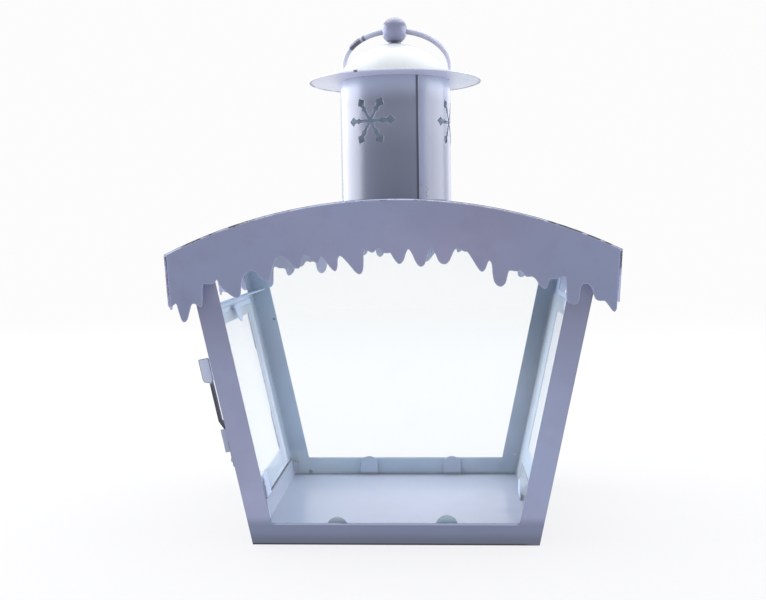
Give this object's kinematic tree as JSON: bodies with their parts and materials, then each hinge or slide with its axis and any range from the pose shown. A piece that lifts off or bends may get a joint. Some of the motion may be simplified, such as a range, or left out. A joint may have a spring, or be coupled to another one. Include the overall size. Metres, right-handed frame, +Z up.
{
  "type": "candle lantern",
  "caption": "Sheet-metal candle lantern with leaning glazed sides, a side door, an arched roof with icicle edging, a pierced chimney and a carrying ring.",
  "frame": {"origin": "centre of the base on the surface the lantern stands on", "axes": "+Z up, -Y towards the front, X across the width; the door and latch are on the -X side"},
  "size_m": [0.2, 0.146, 0.2477],
  "materials": {
    "paint_front": "worn satin paint, pale lilac grey",
    "paint_inner": "worn satin paint, pale blue grey",
    "paint_floor": "worn satin paint, pale",
    "paint_roof": "worn satin paint, chipped at the edges",
    "paint_chimney": "satin paint with a soft gloss",
    "paint_cap": "satin paint, pale",
    "paint_latch": "worn paint, bare in places",
    "paint_ring": "worn paint over wire",
    "paint_ball": "glossy paint",
    "pane": "clear, thin",
    "bare_steel": "dull"
  },
  "bodies": {
    "lantern": {"base_tray": "paint_floor", "front_frame": "paint_front", "back_frame": "paint_inner", "left_top_rail": "paint_inner", "right_top_rail": "paint_inner", "right_side_frame": "paint_inner", "front_glass": "pane", "back_glass": "pane", "right_glass": "pane", "front_glass_clips": "paint_inner", "back_glass_clips": "paint_inner", "right_glass_clips": "paint_inner", "post_hinge_leaves": "paint_latch", "hinge_pins": "bare_steel", "latch_rivet": "bare_steel", "latch_stop": "paint_latch", "latch_stop_rivet": "bare_steel", "roof_sheet": "paint_roof", "front_icicle_trim": "paint_front", "back_icicle_trim": "paint_inner", "left_icicle_trim": "paint_roof", "right_icicle_trim": "paint_roof", "chimney_tube": "paint_chimney", "cap_brim": "paint_cap", "cap_dome": "paint_cap", "finial_ball": "paint_ball", "finial_screw": "bare_steel"},
    "door": {"door_frame": "paint_inner", "door_glass": "pane", "door_glass_clips": "paint_inner", "door_hinge_leaves": "paint_latch"},
    "latch": {"latch_lever": "paint_latch"},
    "ring": {"ring_handle": "paint_ring"}
  },
  "joints": [
    {"name": "door_hinge", "type": "hinge", "parent": "lantern", "child": "door", "pos_m": [-0.07272, 0.053, 0.02903], "axis": [0.2052, 0, -0.9787], "range_deg": [0, 100]},
    {"name": "latch_turn", "type": "hinge", "parent": "lantern", "child": "latch", "pos_m": [-0.07495, -0.0587, 0.04747], "axis": [-0.9787, 0, -0.2052], "range_deg": [0, 90]},
    {"name": "ring_swing", "type": "hinge", "parent": "lantern", "child": "ring", "pos_m": [0, 0, 0.2412], "axis": [1, 0, 0], "range_deg": [0, 242]}
  ]
}
